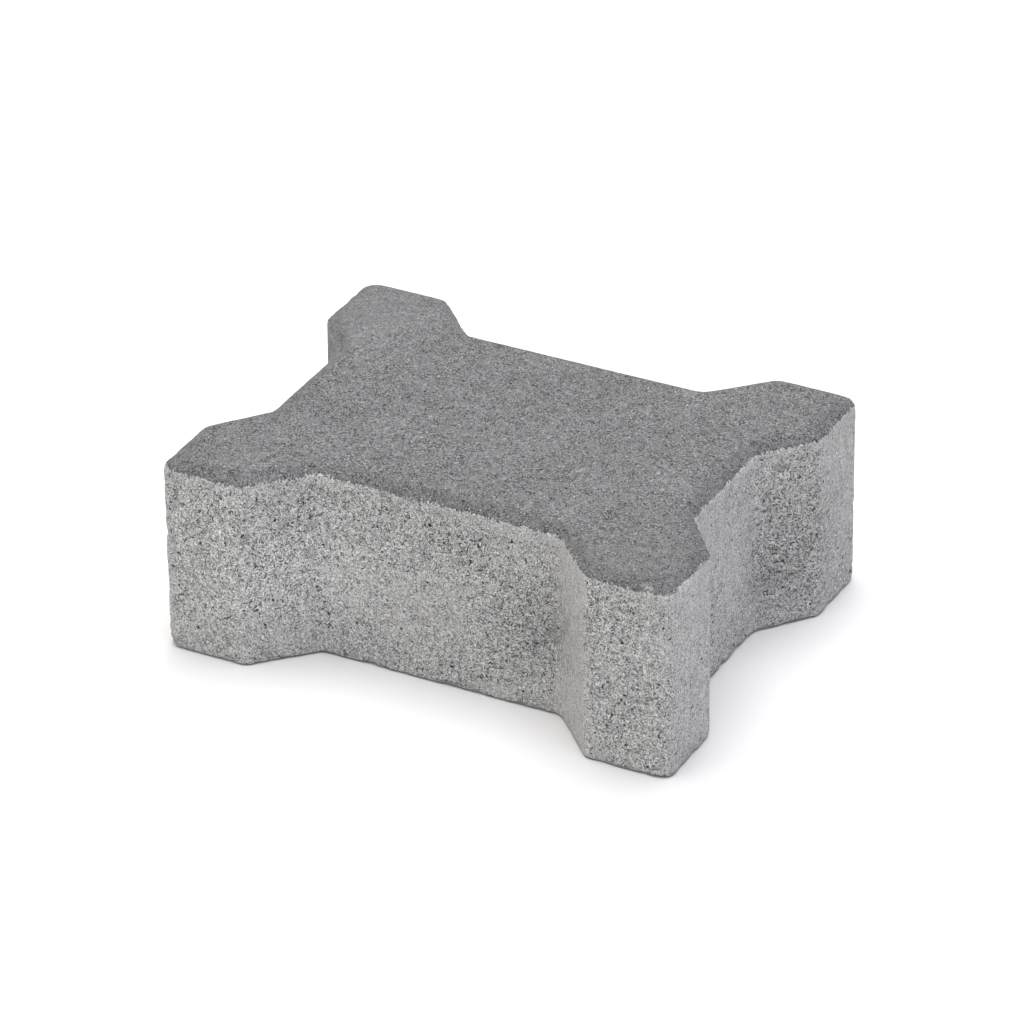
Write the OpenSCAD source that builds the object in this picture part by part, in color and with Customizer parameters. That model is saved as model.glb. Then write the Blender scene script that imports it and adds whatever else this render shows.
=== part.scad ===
// Interlocking concrete paving stone.
// One dense pressed-concrete block. In plan it is a rectangle with a shallow
// trapezoidal notch in the middle of each of its four sides, which leaves four
// square-cornered ears. The ears of the neighbouring stones lie in the notches.
// Millimetres. The origin is the centre of the bed face, +X runs along the
// stone's length and +Z points up to the wearing face.

/* [Overall size] */
// Length over the ears
stone_l = 210; // [200:1:240]
// Width over the ears
stone_w = 162; // [152:1:190]
// Thickness from bed face to wearing face
stone_h = 80; // [60:10:100]

/* [Notches in the long sides] */
// Width of the notch at its mouth
long_mouth = 141; // [130:1:148]
// Width of the notch at its floor
long_floor = 99; // [84:1:110]
// Depth of the notch
long_depth = 21.5; // [15:0.5:26]

/* [Notches in the short sides] */
// Width of the notch at its mouth
short_mouth = 93; // [82:1:104]
// Width of the notch at its floor
short_floor = 51; // [40:1:60]
// Depth of the notch
short_depth = 17; // [12:0.5:22]

/* [Edges] */
// Radius of the upright outer edges
edge_r = 5.5; // [1.5:0.5:6]
// Radius in the upright inner corners of the notches
corner_r = 6; // [1:0.5:8]
// Width of the bevel round the wearing face, seen from above
bevel_w = 5.5; // [2:0.5:7]
// Height of the bevel round the wearing face
bevel_h = 3.5; // [2:0.5:7]
// Radius of the wearing face's outer corners
face_r = 7.5; // [1:0.5:9]
// Size of the small arris round the bed face
arris = 1; // [0.5:0.5:2]

/* [Hidden] */
// Number of facets in each rounded corner
STEPS = 6;

hl = stone_l / 2;
hw = stone_w / 2;

// One ear of the stone, from the floor of the long side's notch round to the
// floor of the short side's notch: [x, y, radius], a negative radius is an inner corner
ear = [
    [long_floor / 2,  hw - long_depth,  -corner_r],
    [long_mouth / 2,  hw,                edge_r],
    [hl,              hw,                edge_r],
    [hl,              short_mouth / 2,   edge_r],
    [hl - short_depth, short_floor / 2, -corner_r]
];

// The ear mirrored into a quarter of the plan, kept in counter-clockwise order
function quarter(sx, sy) =
    let (n = len(ear), fwd = sx * sy < 0)
    [for (i = [0 : n - 1]) let (p = ear[fwd ? i : n - 1 - i]) [sx * p[0], sy * p[1], p[2]]];

plan = concat(quarter(1, -1), quarter(1, 1), quarter(-1, 1), quarter(-1, -1));

function unit(v) = v / norm(v);
function xy(p) = [p[0], p[1]];

// Inward normal of the side that leaves corner i
function side_normal(i) =
    let (n = len(plan), d = unit(xy(plan[(i + 1) % n]) - xy(plan[i % n])))
    [-d[1], d[0]];

// Corner i after the whole outline is moved inward by c
function moved(i, c) =
    let (n = len(plan), a = side_normal((i + n - 1) % n), b = side_normal(i))
    xy(plan[i]) + (a + b) * (c / (1 + a * b));

// Points of the rounded corner i of the outline moved inward by c, where outer
// corners get radius outer_r and inner corners keep their centres
function corner(i, c, outer_r) =
    let (
        n = len(plan),
        a = side_normal((i + n - 1) % n),
        b = side_normal(i),
        s = plan[i][2] > 0 ? 1 : -1,
        r = s > 0 ? outer_r : c - plan[i][2],
        o = moved(i, c) + s * (a + b) * (r / (1 + a * b)),
        a0 = atan2(-s * a[1], -s * a[0]),
        turn = s * acos(a * b)
    )
    [for (k = [0 : STEPS]) let (t = a0 + turn * k / STEPS) o + r * [cos(t), sin(t)]];

// Whole outline moved inward by c, at height z
function ring(c, z, outer_r) =
    [for (i = [0 : len(plan) - 1]) for (p = corner(i, c, outer_r)) [p[0], p[1], z]];

// Flat face filled in with triangles: one fan in the middle of the stone and one
// in each ear, which meet at the middle of the inner corners. k is the index of the
// outline's first point, mid the middle's, and mid + 1 to mid + 4 are the ears'.
function flat(k, mid, n) =
    let (q = n / 4, h = STEPS / 2)
    [for (e = [0 : 3]) each concat(
        [for (i = [e * q + h : e * q + q - h - 2]) [mid + 1 + e, k + i, k + i + 1]],
        [[mid + 1 + e, k + e * q + q - h - 1, k + e * q + h]],
        [[mid, k + e * q + h, k + e * q + q - h - 1]],
        [for (i = [e * q + q - h - 1 : e * q + q + h - 1]) [mid, k + i % n, k + (i + 1) % n]]
    )];

function flipped(faces) = [for (f = faces) [f[0], f[2], f[1]]];

// Points that the flat face at height z fans out from: its middle, then one in each ear
function hubs(c, z) =
    let (x = hl - short_depth - c, y = hw - long_depth - c)
    [[0, 0, z], [x, -y, z], [x, y, z], [-x, y, z], [-x, -y, z]];

// The stone as a stack of outlines: bed face, arris, upright sides, bevel, wearing face
module paving_stone() {
    rings = [
        ring(arris, 0, edge_r),
        ring(0, arris, edge_r),
        ring(0, stone_h - bevel_h, edge_r),
        ring(bevel_w, stone_h, face_r)
    ];
    n = len(rings[0]);
    m = len(rings);
    points = concat([for (r = rings) each r], hubs(arris, 0), hubs(bevel_w, stone_h));
    sides = [
        for (j = [0 : m - 2]) for (i = [0 : n - 1])
            [j * n + i, (j + 1) * n + i, (j + 1) * n + (i + 1) % n, j * n + (i + 1) % n]
    ];
    bed = flat(0, m * n, n);
    wearing = flipped(flat((m - 1) * n, m * n + 5, n));
    color([0.56, 0.56, 0.55])
        polyhedron(points = points, faces = concat(bed, sides, wearing), convexity = 6);
}

paving_stone();
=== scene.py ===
# Concrete paving stone: one block of pressed concrete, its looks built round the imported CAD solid.
import math

import bpy
import numpy as np
from mathutils import Matrix, Vector, kdtree
from mathutils.geometry import delaunay_2d_cdt


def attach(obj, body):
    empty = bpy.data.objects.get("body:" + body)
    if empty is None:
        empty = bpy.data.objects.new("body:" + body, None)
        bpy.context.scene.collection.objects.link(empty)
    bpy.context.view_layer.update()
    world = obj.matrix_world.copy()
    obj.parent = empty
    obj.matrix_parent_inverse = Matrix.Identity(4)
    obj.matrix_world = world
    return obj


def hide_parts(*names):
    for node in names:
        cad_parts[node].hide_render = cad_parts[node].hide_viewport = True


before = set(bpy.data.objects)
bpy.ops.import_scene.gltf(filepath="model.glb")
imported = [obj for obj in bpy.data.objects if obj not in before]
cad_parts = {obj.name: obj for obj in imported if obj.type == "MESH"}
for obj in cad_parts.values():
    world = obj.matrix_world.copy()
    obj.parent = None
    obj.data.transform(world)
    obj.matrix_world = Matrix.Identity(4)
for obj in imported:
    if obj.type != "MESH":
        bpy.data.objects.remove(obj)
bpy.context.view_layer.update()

MM = 0.001
rng = np.random.default_rng(20260)

# ---------------------------------------------------------------- camera
F_PX, AZ, EL, ROLL = 6079.0, 27.822, 30.317, -0.642
TARGET, DIST = Vector((-0.03468, 0.06466, 0.0)), 2.3545


def make_camera():
    a, e, r = math.radians(AZ), math.radians(EL), math.radians(ROLL)
    back = Vector((math.sin(a) * math.cos(e), -math.cos(a) * math.cos(e), math.sin(e)))
    right = Vector((math.cos(a), math.sin(a), 0.0))
    up = back.cross(right)
    x = math.cos(r) * right + math.sin(r) * up
    y = -math.sin(r) * right + math.cos(r) * up
    data = bpy.data.cameras.new("camera")
    data.sensor_width = 36.0
    data.lens = F_PX * 36.0 / 1024.0
    data.clip_start, data.clip_end = 0.05, 50.0
    cam = bpy.data.objects.new("camera", data)
    cam.matrix_world = Matrix(
        (
            (x.x, y.x, back.x, TARGET.x + back.x * DIST),
            (x.y, y.y, back.y, TARGET.y + back.y * DIST),
            (x.z, y.z, back.z, TARGET.z + back.z * DIST),
            (0, 0, 0, 1),
        )
    )
    bpy.context.scene.collection.objects.link(cam)
    bpy.context.scene.camera = cam


make_camera()

# ---------------------------------------------------------------- noise, for the shape


def lattice(i, j, k, seed):
    h = (i * 73856093) ^ (j * 19349663) ^ (k * 83492791) ^ (seed * 2654435761)
    h &= 0xFFFFFFFF
    h ^= h >> 16
    h = (h * 0x45D9F3B) & 0xFFFFFFFF
    h ^= h >> 16
    h = (h * 0x45D9F3B) & 0xFFFFFFFF
    h ^= h >> 16
    return h.astype(np.float64) / 2147483648.0 - 1.0


def smooth_noise(p, size, seed):
    """Smooth noise from -1 to 1 at points p, whose bumps are about size across."""
    q = p / size + 1000.0
    b = np.floor(q).astype(np.int64)
    t = q - b
    t = t * t * t * (t * (t * 6 - 15) + 10)
    out = 0.0
    for dx in (0, 1):
        for dy in (0, 1):
            for dz in (0, 1):
                w = (
                    (t[:, 0] if dx else 1 - t[:, 0])
                    * (t[:, 1] if dy else 1 - t[:, 1])
                    * (t[:, 2] if dz else 1 - t[:, 2])
                )
                out = out + w * lattice(b[:, 0] + dx, b[:, 1] + dy, b[:, 2] + dz, seed)
    return out


def fractal(p, size, octaves, seed, fade=0.55):
    total, amp, full = 0.0, 1.0, 0.0
    for o in range(octaves):
        total = total + amp * smooth_noise(p, size / 2**o, seed + 17 * o)
        full += amp
        amp *= fade
    return total / full


def ramp(x, a, b):
    t = np.clip((x - a) / (b - a), 0, 1)
    return t * t * (3 - 2 * t)


# ---------------------------------------------------------------- the stone's mesh, in mm

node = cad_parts["paving_stone"]
cad = np.array([v.co for v in node.data.vertices]) / MM
BED, ARRIS, BEVEL, TOP = (float(z) for z in np.unique(np.round(cad[:, 2], 2)))
STEP, TOP_STEP, BED_STEP = 1.04, 1.30, 2.2  # spacing of the points: sides, wearing face, bed face
SOFT_TOP, SOFT_BEVEL, SOFT_BED = 1.3, 0.9, 0.6  # how far each edge's rounding reaches


def cad_ring(z):
    """The CAD outline at a height, counter-clockwise from the -X axis."""
    p = cad[np.abs(cad[:, 2] - z) < 0.02][:, :2]
    p = np.unique(np.round(p, 3), axis=0)
    if len(base):  # the middle points that a flat face fans out from aren't on the outline
        p = p[
            [
                np.hypot(base[:, 0] - x, base[:, 1] - y).min() < 14.0
                and np.hypot(x, y) > 1
                for x, y in p
            ]
        ]
    return p[np.argsort(np.arctan2(p[:, 1], p[:, 0]))]


base = []
base = cad_ring(BEVEL)
spans = np.linalg.norm(np.roll(base, -1, 0) - base, axis=1)
parts = np.maximum(1, np.round(spans / STEP)).astype(int)


def dense(ring):
    out = []
    for k, count in enumerate(parts):
        a, b = ring[k], ring[(k + 1) % len(ring)]
        out += [a + (b - a) * i / count for i in range(count)]
    return np.array(out)


def lifted(xy, z):
    return np.column_stack([xy, np.full(len(xy), float(z))])


# Key outlines up the stone: inside the bed face, bed edge, side's foot, side's head, wearing face's edge, inside that face
bed_edge, foot = dense(cad_ring(BED)), dense(cad_ring(ARRIS))
head, top_edge = dense(cad_ring(BEVEL)), dense(cad_ring(TOP))
arris_w = float(np.abs(foot[:, 0]).max() - np.abs(bed_edge[:, 0]).max())
bevel_w = float(np.abs(head[:, 0]).max() - np.abs(top_edge[:, 0]).max())
keys = [
    lifted(bed_edge + (bed_edge - foot) * (2 * SOFT_BED / arris_w), BED),
    lifted(bed_edge, BED),
    lifted(foot, ARRIS),
    lifted(head, BEVEL),
    lifted(top_edge, TOP),
    lifted(top_edge + (top_edge - head) * (2 * SOFT_TOP / bevel_w), TOP),
]
gaps = [
    2 * SOFT_BED,
    math.hypot(arris_w, ARRIS - BED),
    BEVEL - ARRIS,
    math.hypot(bevel_w, TOP - BEVEL),
    2 * SOFT_TOP,
]
at = np.concatenate([[0.0], np.cumsum(gaps)])


def on_profile(s):
    s = min(max(s, 0.0), at[-1])
    k = min(int(np.searchsorted(at, s, side="right")) - 1, len(gaps) - 1)
    t = (s - at[k]) / gaps[k]
    return keys[k] * (1 - t) + keys[k + 1] * t


def eased(s):
    """The outline at distance s up the profile, its edges rounded by averaging over a short window."""
    w = 0.15
    for centre, reach in (
        (at[1], SOFT_BED),
        (at[2], SOFT_BED),
        (at[3], SOFT_BEVEL),
        (at[4], SOFT_TOP),
    ):
        w = max(w, reach * (1 - min(1.0, abs(s - centre) / (2.2 * reach)) ** 2))
    return sum(on_profile(s + w * d) for d in np.linspace(-1, 1, 9)) / 9


def stops(a, b, step):
    count = max(1, round((b - a) / step))
    return list(np.linspace(a, b, count + 1)[:-1])


marks = (
    stops(SOFT_BED, at[1], 0.6)
    + stops(at[1], at[2], 0.7)
    + stops(at[2], at[3], STEP)
    + stops(at[3], at[4], 0.95)
    + stops(at[4], at[4] + SOFT_TOP, 0.7)
    + [at[4] + SOFT_TOP]
)
rings = [eased(s) for s in marks]
n = len(rings[0])
points = np.concatenate(rings)
up_side = np.repeat(marks, n)  # distance up the profile
along = np.concatenate([[0.0], np.cumsum(np.linalg.norm(np.roll(head, -1, 0) - head, axis=1))[:-1]])
round_side = np.tile(along, len(marks))  # distance round the outline
row, col = np.meshgrid(np.arange(len(marks) - 1), np.arange(n), indexing="ij")
a = (row * n + col).ravel()
b = (row * n + (col + 1) % n).ravel()
quads = np.stack([a, b, b + n, a + n], 1)


def inside(p, poly):
    x, y = p[:, 0][:, None], p[:, 1][:, None]
    a, b = poly, np.roll(poly, -1, 0)
    cross = ((a[:, 1] > y) != (b[:, 1] > y)) & (
        x < (b[:, 0] - a[:, 0]) * (y - a[:, 1]) / (b[:, 1] - a[:, 1] + 1e-12) + a[:, 0]
    )
    return cross.sum(1) % 2 == 1


def filled(outline, step, grow):
    """Points inside an outline, a loose triangle grid, and the triangles that join them and it."""
    half = np.abs(outline).max(0)
    rows = np.arange(-half[1], half[1] + step, step * math.sqrt(3) / 2)
    p = np.concatenate(
        [
            np.column_stack(
                [
                    np.arange(-half[0] - step, half[0] + step, step) + (i % 2) * step / 2,
                    np.full(len(np.arange(-half[0] - step, half[0] + step, step)), y),
                ]
            )
            for i, y in enumerate(rows)
        ]
    )
    p = p + rng.uniform(-0.2, 0.2, p.shape) * step
    p = p[inside(p, outline)]
    tree = kdtree.KDTree(len(outline))
    for i, q in enumerate(outline):
        tree.insert((q[0], q[1], 0), i)
    tree.balance()
    p = p[[tree.find((q[0], q[1], 0))[2] > grow * step for q in p]]
    every = np.concatenate([outline, p])
    count = len(outline)
    made = delaunay_2d_cdt(
        [Vector(q) for q in every], [], [list(range(count))], 1, 1e-5
    )
    source = [o[0] for o in made[3]]
    return p, np.array([[source[i] for i in f] for f in made[2]])


top_outline, bed_outline = rings[-1][:, :2], rings[0][:, :2]
top_in, top_tris = filled(top_outline, TOP_STEP, 0.62)
bed_in, bed_tris = filled(bed_outline, BED_STEP, 0.55)
first_top, first_bed = len(points), len(points) + len(top_in)
last_ring = (len(marks) - 1) * n
top_tris = np.where(top_tris < n, top_tris + last_ring, top_tris - n + first_top)
bed_tris = np.where(bed_tris < n, bed_tris, bed_tris - n + first_bed)[:, ::-1]
points = np.concatenate([points, lifted(top_in, TOP), lifted(bed_in, BED)])
up_side = np.concatenate([up_side, np.full(len(top_in), at[-1] + 9), np.full(len(bed_in), -9.0)])
round_side = np.concatenate([round_side, np.zeros(len(top_in) + len(bed_in))])
tris = np.concatenate(
    [quads[:, [0, 1, 2]], quads[:, [0, 2, 3]], top_tris, bed_tris]
)


def normals_of(p):
    f = np.cross(p[tris[:, 1]] - p[tris[:, 0]], p[tris[:, 2]] - p[tris[:, 0]])
    out = np.zeros_like(p)
    for k in range(3):
        np.add.at(out, tris[:, k], f)
    return out / np.maximum(np.linalg.norm(out, axis=1), 1e-12)[:, None]


normal = normals_of(points)

# ---------------------------------------------------------------- its surface: lumps, pits, worn and chipped edges

x, y, z = points.T
on_side = ramp(up_side, at[1], at[2] + 0.6) * (1 - ramp(up_side, at[3] - 0.5, at[3] + 0.5))
on_top = ramp(up_side, at[3] - 0.2, at[3] + 1.0)
on_bed = 1 - ramp(up_side, at[1] - 0.6, at[1] + 0.4)

# How open the concrete's skin is, from 0, closed and smooth, to 1, coarse. [facing x, facing y, middle x, middle y, how much smoother]
HALF_L, HALF_W = float(np.abs(head[:, 0]).max()), float(np.abs(head[:, 1]).max())
SMOOTHER = [
    (-0.71, -0.71, 60, -70, 0.66),
    (1, 0, HALF_L, -64, 0.42),
    (1, 0, 88, 0, 0.28),
    (1, 0, HALF_L, 64, 0.22),
    (-1, 0, -88, 0, 0.45),
    (0.71, 0.71, -60, 70, 0.75),
    (-0.78, -0.63, -96, 36, 0.6),
    (0, 1, 88, HALF_W, 0.35),
]
coarse = 0.80 + 0.45 * fractal(points, 34, 2, 3)
for fx, fy, mx, my, much in SMOOTHER:
    facing = ramp(normal[:, 0] * fx + normal[:, 1] * fy + 0.12 * fractal(points, 7, 2, 5), 0.76, 0.98)
    near = 1 - ramp(np.hypot(x - mx, y - my), 34, 46)
    coarse = coarse * (1 - much * facing * near)
for cx, cy, cz, reach, more in ((97, 37, 28, 22, 0.75), (44, -59, 40, 13, 0.35)):
    d2 = (x - cx) ** 2 + (y - cy) ** 2 + (z - cz) ** 2
    coarse += more * np.exp(-d2 / (reach * reach) * 1.4)
# The skin is closed just under the wearing face's edge, and changes gradually where one side meets the next
under_edge = ramp(up_side + 3.0 * fractal(points, 5, 2, 6), at[3] - 7.0, at[3] - 0.5)
coarse = coarse * (1 - 0.45 * under_edge * (up_side < at[4]))
walls = coarse[: len(marks) * n].reshape(len(marks), n)
share = np.exp(-((np.arange(-9, 10) / 3.8) ** 2))
coarse[: len(marks) * n] = sum(
    np.roll(walls, k - 9, 1) * w for k, w in enumerate(share / share.sum())
).ravel()
coarse = np.clip(coarse, 0.05, 1.5)

lump = (
    on_side * (0.22 * fractal(points, 11, 2, 11) + 0.15 * coarse * fractal(points, 3.4, 2, 12))
    + on_top * (0.12 * fractal(points, 22, 2, 13) + 0.07 * fractal(points, 3.2, 2, 14))
    + on_bed * (0.20 * fractal(points, 14, 2, 15) + 0.24 * fractal(points, 4.2, 2, 16))
)
drawn = np.stack([x, y, z / 9], 1)  # the mould's walls leave faint upright marks
lump += on_side * 0.12 * fractal(drawn, 2.6, 2, 17)
depth = 0.34 * on_side + 0.12 * on_top + 0.26 * on_bed - lump

# The arrises are ragged, the bed's more than the wearing face's
lip = np.exp(-(((up_side - at[3]) / 1.1) ** 2))
foot_edge = np.exp(-(((up_side - (at[1] + at[2]) / 2) / 1.3) ** 2))
depth += lip * (0.10 + 0.55 * np.clip(fractal(points, 3.0, 2, 21) + 0.1, 0, 1))
depth += foot_edge * (0.15 + 1.0 * np.clip(fractal(points, 4.0, 3, 22) + 0.02, 0, 1))

tree = kdtree.KDTree(len(points))
for i, q in enumerate(points):
    tree.insert(q, i)
tree.balance()


def dimple(field, middle, facing, across, longer, deep, lying):
    """Presses an oval dimple, its long way lying along a direction, into a field of depths; the deeper one counts."""
    facing = Vector(facing)
    two = facing.cross(Vector(lying)).normalized()
    one = two.cross(facing)
    for co, i, _ in tree.find_range(middle, across * longer):
        if normal[i] @ np.array(facing) < 0.2:
            continue
        d = co - Vector(middle)
        r = math.hypot(d.dot(one) / (across * longer), d.dot(two) / across)
        if r < 1:
            field[i] = max(field[i], deep * (1 - r * r) ** 1.5)


pits = np.zeros(len(points))


def scatter(weight, count, size, deep):
    odds = weight / weight.sum()
    for i in rng.choice(len(points), size=count, replace=False, p=odds):
        across = rng.uniform(*size)
        dimple(
            pits,
            points[i],
            normal[i],
            across,
            rng.uniform(1.0, 1.9),
            rng.uniform(*deep) * (0.5 + across / size[1] / 2),
            rng.normal(size=3),
        )


scatter(on_side * np.clip(coarse, 0, 1.2) ** 2, 2100, (1.15, 2.0), (0.20, 0.55))
scatter(on_side * np.clip(coarse - 0.5, 0, 1) ** 2, 130, (1.9, 3.0), (0.6, 1.2))
foot_zone = on_side * np.exp(-(((z - 7) / 6) ** 2)) * np.clip(coarse, 0, 1)
rough_spot = on_side * np.exp(-((x - 97) ** 2 + (y - 38) ** 2 + (z - 22) ** 2) / 130)
scatter(foot_zone, 110, (1.0, 1.8), (0.5, 1.0))
scatter(rough_spot, 26, (1.2, 2.2), (0.7, 1.2))
scatter(on_bed * (up_side < 0), 420, (2.2, 3.6), (0.3, 0.9))
scatter(on_top * (up_side > at[4]), 90, (1.2, 1.9), (0.12, 0.35))

# Small fresh chips on the edges: [x, y, z, size, how much longer, depth, direction it lies in]
CHIPS = [
    (95.0, -78.9, 78.3, 1.3, 2.6, 0.22, (1.0, -0.1, 0.1)),
    (102.6, -79.6, 76.6, 1.3, 1.9, 0.35, (1.0, 0.3, 0.0)),
    (104.2, -72.0, 77.0, 1.1, 1.5, 0.25, (0, 1, 0)),
    (103.6, 79.5, 76.0, 2.2, 1.5, 0.8, (1, -1, 0)),
    (-104.5, 60.0, 76.2, 1.8, 1.9, 0.6, (0, 1, 0.2)),
    (-86.0, 80.6, 1.2, 2.8, 1.7, 1.1, (1, 0, 0.1)),
    (104.6, 56.0, 1.0, 2.4, 1.4, 1.0, (0, 1, 0)),
    (-103.0, -80.0, 1.5, 2.2, 1.3, 0.9, (1, 1, 0)),
    (30.0, 59.4, 76.6, 1.6, 2.1, 0.45, (1, 0, 0)),
]
# A short groove pressed into the far left ear's bevel
i = tree.find((-91.5, 34.0, 78.0))[1]
dimple(pits, points[i], normal[i], 1.35, 3.4, 0.75, (0.62, -0.78, 0))
chips = np.zeros(len(points))
for cx, cy, cz, size, longer, deep, lying in CHIPS:
    i = tree.find((cx, cy, cz))[1]
    dimple(chips, points[i], normal[i], size, longer, deep, lying)

shaped = points - normal * (np.clip(depth, 0.0, None) + pits + chips)[:, None]
shaped[:, 2] = np.clip(shaped[:, 2], BED, TOP)
# How far each point lies sunk in a hollow or pit, for the painted shade the material puts there
hollow = np.clip((depth - 0.34 * on_side - 0.12 * on_top - 0.26 * on_bed) * 1.2 + pits * 1.4, 0, 1)

# Where the colour is duller or paler than the rest, partly the concrete's own uneven tone, partly painted shade in the
# notches and in the far left ear's groove, and painted light on the front left ear's inner face: [x, y, z, reach,
# amount], below 0 is darker
TONE_AND_SHADE_SPOTS = [
    (-84.0, 37.0, 80.0, 12.0, 1.1),
    (-88.0, 55.0, 80.0, 30.0, 0.5),
    (-91.5, 34.0, 78.0, 3.4, -1.5),
    (92.0, -79.0, 78.0, 10.0, -0.8),
    (101.0, -79.0, 78.0, 6.0, -0.4),
    (60.0, -65.0, 79.0, 9.0, -0.35),
    (-95.0, -77.0, 79.0, 12.0, -0.35),
    (-20.0, -57.0, 79.0, 22.0, -0.22),
    (10.0, -57.0, 79.0, 22.0, -0.22),
    (-30.0, -59.5, 50.0, 34.0, 0.35),
    (45.0, -59.5, 38.0, 20.0, -1.45),
    (-62.0, -70.0, 40.0, 32.0, 1.9),
    (97.0, 37.0, 30.0, 24.0, -0.75),
    (95.0, 33.0, 24.0, 9.0, -1.1),
    (105.0, 66.0, 40.0, 30.0, -0.45),
    (62.0, -70.0, 40.0, 26.0, -0.65),
]
tone_and_shade = np.zeros(len(points))
for px, py, pz, reach, much in TONE_AND_SHADE_SPOTS:
    d2 = (x - px) ** 2 + (y - py) ** 2 + (z - pz) ** 2
    tone_and_shade += much * np.exp(-d2 / (reach * reach) * 1.4)

# The wearing face's dark colour reaches down one side of the far left ear, fading downward
drape = np.exp(-((x + 97) ** 2 + (y - 37) ** 2) / 21.0**2) * np.clip((z - 46) / 20, 0, 1)
drape = np.clip(drape * (1.05 + 0.5 * fractal(points, 9, 3, 31)), 0, 0.9)

# The wearing face's grain is weakest on two of the ears
calm = 0.42 * np.exp(-((x + 90) ** 2 + (y - 56) ** 2) / 700)
calm += 0.18 * np.exp(-((x - 88) ** 2 + (y + 66) ** 2) / 500)

mesh = bpy.data.meshes.new("stone_skin")
mesh.from_pydata((shaped * MM).tolist(), [], quads.tolist() + top_tris.tolist() + bed_tris.tolist())
mesh.update()
mesh.polygons.foreach_set("use_smooth", np.ones(len(mesh.polygons), bool))
for name, values in (
    ("coarse", coarse),
    ("hollow", hollow),
    ("chip", np.clip(chips / 0.3, 0, 1)),
    ("tone_and_shade", tone_and_shade),
    ("drape", drape),
    ("calm", calm),
    ("bed", on_bed),
    ("bevel", np.exp(-(((up_side - (at[3] + at[4]) / 2) / (0.62 * gaps[3])) ** 4))),
):
    mesh.attributes.new(name, "FLOAT", "POINT").data.foreach_set(
        "value", np.asarray(values, np.float32)
    )


def lay_out():
    """One map of the whole skin: both flat faces from above, and the sides unrolled in three strips."""
    canvas, edge = 400.0, 4.0
    loops = np.empty(len(mesh.loops), np.int64)
    mesh.loops.foreach_get("vertex_index", loops)
    starts = np.empty(len(mesh.polygons), np.int64)
    totals = np.empty(len(mesh.polygons), np.int64)
    mesh.polygons.foreach_get("loop_start", starts)
    mesh.polygons.foreach_get("loop_total", totals)
    face = np.repeat(np.arange(len(totals)), totals)
    uv = np.zeros((len(loops), 2))
    middle_up = np.bincount(face, up_side[loops]) / totals
    on_top_chart, on_bed_chart = middle_up[face] > at[3], middle_up[face] < at[1]
    flat = points[loops][:, :2]
    uv[on_top_chart] = (flat + [HALF_L + edge, HALF_W + edge])[on_top_chart]
    uv[on_bed_chart] = (flat + [HALF_L + edge, 3 * HALF_W + 2 * edge])[on_bed_chart]
    # Faces of the last column join the outline's end to its start
    r = round_side[loops]
    whole = float(along[-1] + np.linalg.norm(head[0] - head[-1]))
    first = np.minimum.reduceat(r, starts)[face]
    last = np.maximum.reduceat(r, starts)[face]
    r = np.where((last - first > whole / 2) & (r < whole / 2), r + whole, r)
    first = np.minimum.reduceat(r, starts)[face]
    long = canvas - 2 * edge
    strip = np.clip((first // long).astype(int), 0, 2)
    rest = ~(on_top_chart | on_bed_chart)
    up = up_side[loops] - at[1]
    wide = at[3] - at[1] + edge
    su = np.where(strip < 2, 2 * HALF_L + 2 * edge + strip * wide + up, edge + up)
    sv = np.where(strip < 2, edge + r - strip * long, 4 * HALF_W + 3 * edge + r - 2 * long)
    uv[rest] = np.stack([su, sv], 1)[rest]
    layer = mesh.uv_layers.new(name="OFBake")
    layer.data.foreach_set("uv", (uv / canvas).astype(np.float32).ravel())


lay_out()
stone = bpy.data.objects.new("stone", mesh)
bpy.context.scene.collection.objects.link(stone)

# ---------------------------------------------------------------- the concrete itself

material = bpy.data.materials.new("cast_concrete")
material.use_nodes = True
tree_of = material.node_tree
tree_of.nodes.clear()


def shade(kind, inputs=(), **settings):
    made = tree_of.nodes.new("ShaderNode" + kind)
    for name, value in settings.items():
        setattr(made, name, value)
    for socket, value in dict(inputs).items():
        if isinstance(value, bpy.types.NodeSocket):
            tree_of.links.new(value, made.inputs[socket])
        else:
            made.inputs[socket].default_value = value
    return made


def calc(operation, *values, clamp=False):
    made = shade("Math", operation=operation, use_clamp=clamp)
    for i, value in enumerate(values):
        if isinstance(value, bpy.types.NodeSocket):
            tree_of.links.new(value, made.inputs[i])
        else:
            made.inputs[i].default_value = value
    return made.outputs[0]


def band(value, low, high, to_low=0.0, to_high=1.0):
    """Smooth step from to_low at low to to_high at high."""
    return shade(
        "MapRange",
        {"Value": value, "From Min": low, "From Max": high, "To Min": to_low, "To Max": to_high},
        interpolation_type="SMOOTHSTEP",
    ).outputs[0]


def field(name):
    return shade("Attribute", attribute_name=name).outputs["Fac"]


def cloud(vector, size, detail=1.0, rough=0.5, warp=0.0, mean=0.5):
    """Noise whose features are about size mm across, shifted so that its mean is 0."""
    made = shade(
        "TexNoise",
        {
            "Vector": vector,
            "Scale": 1.0 / size,
            "Detail": detail,
            "Roughness": rough,
            "Distortion": warp,
        },
    )
    return calc("SUBTRACT", made.outputs["Fac"], mean)


def squiggle(vector, size, turns):
    """Short crooked strokes, as where height lines of a rough ground crowd; its mean is 0, its range -0.5 to 0.5."""
    ground = shade("TexNoise", {"Vector": vector, "Scale": 1 / size, "Detail": 0.0}).outputs["Fac"]
    return calc("MULTIPLY", calc("SINE", calc("MULTIPLY", ground, turns)), 0.5)


def moved(vector, by):
    return shade("VectorMath", {0: vector, 1: by}, operation="ADD").outputs[0]


def scaled(vector, by):
    return shade("VectorMath", {0: vector, 1: by}, operation="MULTIPLY").outputs[0]


place = scaled(shade("TexCoord").outputs["Object"], (1000, 1000, 1000))  # mm
height_up = shade("SeparateXYZ", {0: place}).outputs[2]

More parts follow.
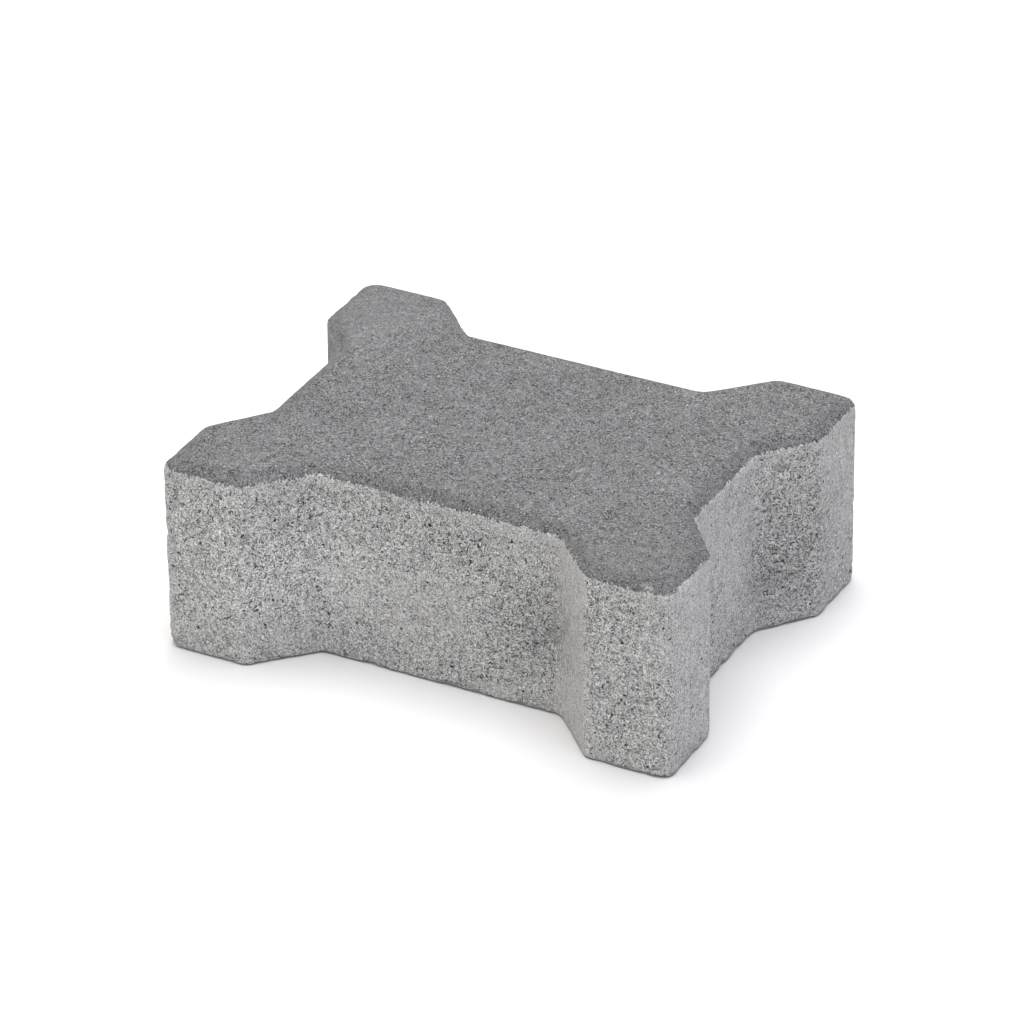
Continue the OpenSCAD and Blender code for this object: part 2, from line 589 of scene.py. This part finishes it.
# A little swirl, so that nothing below lies on a plain lattice
swirl = shade("TexNoise", {"Vector": place, "Scale": 1 / 1.6, "Detail": 0.0}).outputs["Color"]
swirl = shade("VectorMath", {0: swirl, 1: (0.5, 0.5, 0.5)}, operation="SUBTRACT").outputs[0]
bent = shade("VectorMath", {0: scaled(swirl, (2.9, 2.9, 2.9)), 1: place}, operation="ADD").outputs[0]

openness = calc("MULTIPLY", field("coarse"), 0.94)
clumps = cloud(moved(place, (40, 0, 0)), 5.5, 2.0, 0.55)  # where pores gather
open_here = calc("MULTIPLY_ADD", clumps, 0.8, openness)


def pores(vector, cell, reach, share, sharp=0.35):
    """Round hollows in a share of the cells of a Voronoi pattern."""
    made = shade("TexVoronoi", {"Vector": vector, "Scale": 1 / cell, "Randomness": 1.0})
    pick = shade("SeparateColor", {0: made.outputs["Color"]}).outputs[0]
    on = band(calc("SUBTRACT", pick, share), -0.03, 0.03, 1, 0)
    return calc("MULTIPLY", band(made.outputs["Distance"], reach * sharp, reach, 1, 0), on)


share_here = calc("MULTIPLY_ADD", open_here, 0.22, -0.03)
pore = pores(bent, 1.5, 0.39, share_here, 0.6)
small_pore = pores(moved(bent, (7.3, 3.1, 5.7)), 0.95, 0.42, calc("MULTIPLY", share_here, 1.3))
worm = cloud(moved(bent, (0, 60, 0)), 1.25, 0.0)
worm = band(calc("ABSOLUTE", worm), 0.012, 0.06, 1, 0)
worm_gate = band(cloud(moved(place, (0, 0, 90)), 1.7, 0.0), -0.10, 0.06)
worm = calc("MULTIPLY", calc("MULTIPLY", worm, worm_gate), band(open_here, 0.1, 0.9))
grain = squiggle(bent, 1.9, 42.0)
stroke = band(grain, -0.5, -0.24, 1, 0)
speck = cloud(moved(place, (9, 9, 9)), 0.62, 0.0)
flake = pores(moved(bent, (3.0, 9.0, 1.0)), 1.3, 0.5, 0.26)
blotch = cloud(moved(place, (11, 5, 3)), 15.0, 2.0, 0.5)
dab = cloud(moved(place, (5, 5, 13)), 3.4, 2.0, 0.5)
streak = cloud(scaled(place, (1.0, 1.0, 0.12)), 1.1, 2.0, 0.5)

# Tone of the cast sides
side_tone = calc("MULTIPLY_ADD", openness, 0.27, 0.82)
side_tone = calc("MULTIPLY_ADD", grain, calc("MULTIPLY_ADD", openness, 0.16, 0.10), side_tone)
side_tone = calc("MULTIPLY_ADD", speck, calc("MULTIPLY_ADD", openness, 1.5, 0.8), side_tone)
side_tone = calc("MULTIPLY_ADD", dab, 0.05, side_tone)
side_tone = calc("MULTIPLY_ADD", blotch, 0.16, side_tone)
side_tone = calc("MULTIPLY_ADD", streak, calc("MULTIPLY_ADD", openness, -0.28, 0.48), side_tone)
side_tone = calc("MULTIPLY_ADD", calc("MULTIPLY", flake, openness), 0.18, side_tone)
side_tone = calc("MINIMUM", side_tone, calc("MULTIPLY_ADD", side_tone, 0.4, 0.6 * 1.14))
# Dark pores, strokes and worm marks: the concrete's own dark grain, with painted shade inside the pores
dark = calc("MAXIMUM", calc("MULTIPLY", pore, 0.92), calc("MULTIPLY", small_pore, 0.66))
dark = calc("MAXIMUM", dark, calc("MULTIPLY", stroke, band(open_here, -0.2, 1.2, 0.14, 0.84)))
dark = calc("MAXIMUM", dark, calc("MULTIPLY", worm, 0.88))
side_tone = calc("MULTIPLY", side_tone, calc("SUBTRACT", 1.0, dark))

# Tone of the wearing face, closed and darker, with a finer grain
top_grain = squiggle(moved(bent, (31, 17, 50)), 1.9, 40.0)
top_worm = cloud(moved(bent, (70, 0, 40)), 1.1, 0.0)
top_dark = band(calc("ABSOLUTE", top_worm), 0.0, 0.08, 1, 0)
top_gate = band(cloud(moved(place, (20, 50, 0)), 3.0, 1.0), -0.1, 0.12)
top_dark = calc("MULTIPLY", top_dark, top_gate)
top_pore = pores(moved(bent, (2.0, 8.0, 4.0)), 1.25, 0.36, calc("MULTIPLY_ADD", top_gate, 0.16, 0.12))
bevel = field("bevel")
top_lively = calc("MULTIPLY_ADD", bevel, -0.7, 1.0)
top_stroke = calc("MULTIPLY", band(top_grain, -0.5, 0.0, 1, 0), top_lively)
top_tone = calc("MULTIPLY_ADD", top_grain, calc("MULTIPLY_ADD", top_gate, 0.34, 0.40), 1.03)
top_tone = calc("MULTIPLY_ADD", speck, calc("MULTIPLY_ADD", top_gate, 1.2, 1.6), top_tone)
top_tone = calc("MULTIPLY_ADD", dab, 0.34, top_tone)
top_tone = calc("MULTIPLY_ADD", blotch, 0.42, top_tone)
top_tone = calc("MULTIPLY_ADD", top_worm, 1.0, top_tone)
# Dark worm marks, pores and strokes of the wearing face: its own dark grain, with painted shade inside the pores
top_loss = calc("MAXIMUM", calc("MULTIPLY", top_dark, 0.66), calc("MULTIPLY", top_pore, 0.62))
top_loss = calc("MAXIMUM", top_loss, calc("MULTIPLY", top_stroke, 0.34))
top_tone = calc("MULTIPLY", top_tone, calc("SUBTRACT", 1.0, top_loss))
calm = field("calm")  # where the wearing face is smoothest
top_tone = calc("ADD", calc("MULTIPLY", top_tone, calc("SUBTRACT", 1.0, calm)), calc("MULTIPLY", calm, 0.88))
top_tone = calc("MULTIPLY", top_tone, calc("MULTIPLY_ADD", bevel, -0.15, 1.0))

# The two meet along a ragged line at the foot of the bevel
teeth = cloud(scaled(place, (1.0, 1.0, 0.15)), 0.9, 1.0, 0.5)
teeth = calc("MULTIPLY_ADD", cloud(moved(place, (0, 7, 7)), 4.5, 1.0), 0.5, teeth)
line = calc("SUBTRACT", height_up, BEVEL)
line = calc("MULTIPLY_ADD", teeth, -2.6, line)
ragged_drape = calc("MULTIPLY", field("drape"), calc("MULTIPLY_ADD", teeth, 1.7, 1.0))
is_top = calc("MAXIMUM", band(line, -0.18, 0.18), band(ragged_drape, 0.15, 0.9, 0.0, 0.85))

SIDE_COLOUR = (0.522, 0.5237, 0.5114, 1)
TOP_COLOUR = (0.1581, 0.1598, 0.1629, 1)


def toned(colour, tone):
    tinted = shade("Mix", data_type="RGBA", blend_type="MULTIPLY")
    tinted.inputs[6].default_value = colour
    tinted.inputs[0].default_value = 1.0
    grey = shade("CombineColor", {0: tone, 1: tone, 2: tone})
    tree_of.links.new(grey.outputs[0], tinted.inputs[7])
    return tinted.outputs[2]


def mixed(factor, a, b):
    made = shade("Mix", data_type="RGBA")
    for socket, value in ((0, factor), (6, a), (7, b)):
        if isinstance(value, bpy.types.NodeSocket):
            tree_of.links.new(value, made.inputs[socket])
        else:
            made.inputs[socket].default_value = value
    return made.outputs[2]


colour = mixed(is_top, toned(SIDE_COLOUR, side_tone), toned(TOP_COLOUR, top_tone))
# Painted shade: the colour is a little darker in pits and hollows, where shade falls
painted_shade_and_tone = calc("SUBTRACT", 1.0, calc("MULTIPLY", field("hollow"), 0.13))
foot = band(calc("MULTIPLY_ADD", dab, -1.4, height_up), 0.30, 0.95, 0.03, 1.0)  # painted contact shadow: a thin dark line at the very foot
foot = calc("MAXIMUM", foot, field("bed"))
painted_shade_and_tone = calc("MULTIPLY", painted_shade_and_tone, foot)
# The spots' own tone, with painted shade in the notches and the groove and painted light on the front left ear's inner
# face
painted_shade_and_tone = calc("MULTIPLY", painted_shade_and_tone, calc("MULTIPLY_ADD", field("tone_and_shade"), 0.13, 1.0))
shadowed = shade("Mix", data_type="RGBA", blend_type="MULTIPLY")
shadowed.inputs[0].default_value = 1.0
tree_of.links.new(colour, shadowed.inputs[6])
tree_of.links.new(
    shade("CombineColor", {0: painted_shade_and_tone, 1: painted_shade_and_tone, 2: painted_shade_and_tone}).outputs[0],
    shadowed.inputs[7],
)
chipped = calc("MULTIPLY", field("chip"), band(cloud(place, 1.4, 2.0), -0.16, 0.1))
colour = mixed(chipped, shadowed.outputs[2], (0.50, 0.497, 0.488, 1))

# Relief too fine for the mesh, in mm
side_relief = calc("MULTIPLY_ADD", grain, 0.10, 0.0)
side_relief = calc("MULTIPLY_ADD", speck, 0.22, side_relief)
side_relief = calc("MULTIPLY_ADD", pore, -0.42, side_relief)
side_relief = calc("MULTIPLY_ADD", small_pore, -0.26, side_relief)
side_relief = calc("MULTIPLY_ADD", worm, -0.16, side_relief)
side_relief = calc("MULTIPLY_ADD", dab, 0.14, side_relief)
top_relief = calc("MULTIPLY_ADD", top_grain, 0.07, 0.0)
top_relief = calc("MULTIPLY_ADD", top_worm, 0.22, top_relief)
top_relief = calc("MULTIPLY_ADD", top_pore, -0.16, top_relief)
relief = shade("Mix", {0: is_top, 2: side_relief, 3: top_relief}, data_type="FLOAT").outputs[0]
bump = shade("Bump", {"Strength": 1.0, "Distance": MM, "Height": relief})

dull = calc("MULTIPLY_ADD", speck, 0.25, 0.90)
dull = calc("MULTIPLY_ADD", calc("MULTIPLY", bevel, is_top), -0.14, dull)
skin = shade(
    "BsdfPrincipled",
    {
        "Base Color": colour,
        "Roughness": calc("MINIMUM", dull, 1.0),
        "Specular IOR Level": 0.35,
        "Normal": bump.outputs[0],
    },
)
shade("OutputMaterial", {"Surface": skin.outputs[0]})
mesh.materials.append(material)

# ---------------------------------------------------------------- floor, light


def plain(name, colour, rough):
    made = bpy.data.materials.new(name)
    made.use_nodes = True
    surface = made.node_tree.nodes["Principled BSDF"]
    surface.inputs["Base Color"].default_value = colour
    surface.inputs["Roughness"].default_value = rough
    surface.inputs["Specular IOR Level"].default_value = 0.2
    return made


floor_mesh = bpy.data.meshes.new("studio_floor")
turns = [2 * math.pi * i / 96 for i in range(96)]
floor_mesh.from_pydata(
    [(6 * math.cos(t), 6 * math.sin(t), 0) for t in turns], [], [tuple(range(96))]
)
floor_mesh.materials.append(plain("studio_white", (0.75, 0.75, 0.75, 1), 0.9))
floor = bpy.data.objects.new("studio_floor", floor_mesh)
bpy.context.scene.collection.objects.link(floor)

world = bpy.data.worlds.new("studio")
bpy.context.scene.world = world
world.use_nodes = True
sky = world.node_tree.nodes["Background"]
sky.inputs["Strength"].default_value = 0.70
hall = world.node_tree
toward = hall.nodes.new("ShaderNodeTexCoord")
across = hall.nodes.new("ShaderNodeSeparateXYZ")
warm_cool = hall.nodes.new("ShaderNodeMapRange")
blend = hall.nodes.new("ShaderNodeMix")
blend.data_type = "RGBA"
hall.links.new(toward.outputs["Generated"], across.inputs[0])
hall.links.new(across.outputs[0], warm_cool.inputs["Value"])
warm_cool.inputs["From Min"].default_value = -1.0
hall.links.new(warm_cool.outputs[0], blend.inputs[0])
blend.inputs[6].default_value = (1.08, 1.0, 0.875, 1)  # from the left
blend.inputs[7].default_value = (0.945, 0.975, 1.14, 1)  # from the right
hall.links.new(blend.outputs[2], sky.inputs["Color"])


def softbox(name, where, aim, size, watts, colour):
    data = bpy.data.lights.new(name, "AREA")
    data.shape, data.size, data.energy, data.color = "DISK", size, watts, colour
    lamp = bpy.data.objects.new(name, data)
    lamp.location = where
    lamp.rotation_euler = (Vector(aim) - Vector(where)).to_track_quat("-Z", "Y").to_euler()
    bpy.context.scene.collection.objects.link(lamp)


softbox("overhead", (0, 0, 2.2), (0, 0, 0), 2.0, 50, (1, 1, 1))
softbox("from_behind", (-0.5, 1.6, 1.5), (0, 0, 0), 1.2, 10, (1, 1, 1))
softbox("from_left", (-1.2, -1.6, 1.2), (0, 0, 0), 1.2, 2.6, (1, 0.97, 0.92))

bpy.context.scene.view_settings.view_transform = "Standard"
bpy.context.scene.view_settings.look = "None"

# ---------------------------------------------------------------- hand over

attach(stone, "root")
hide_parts("paving_stone")
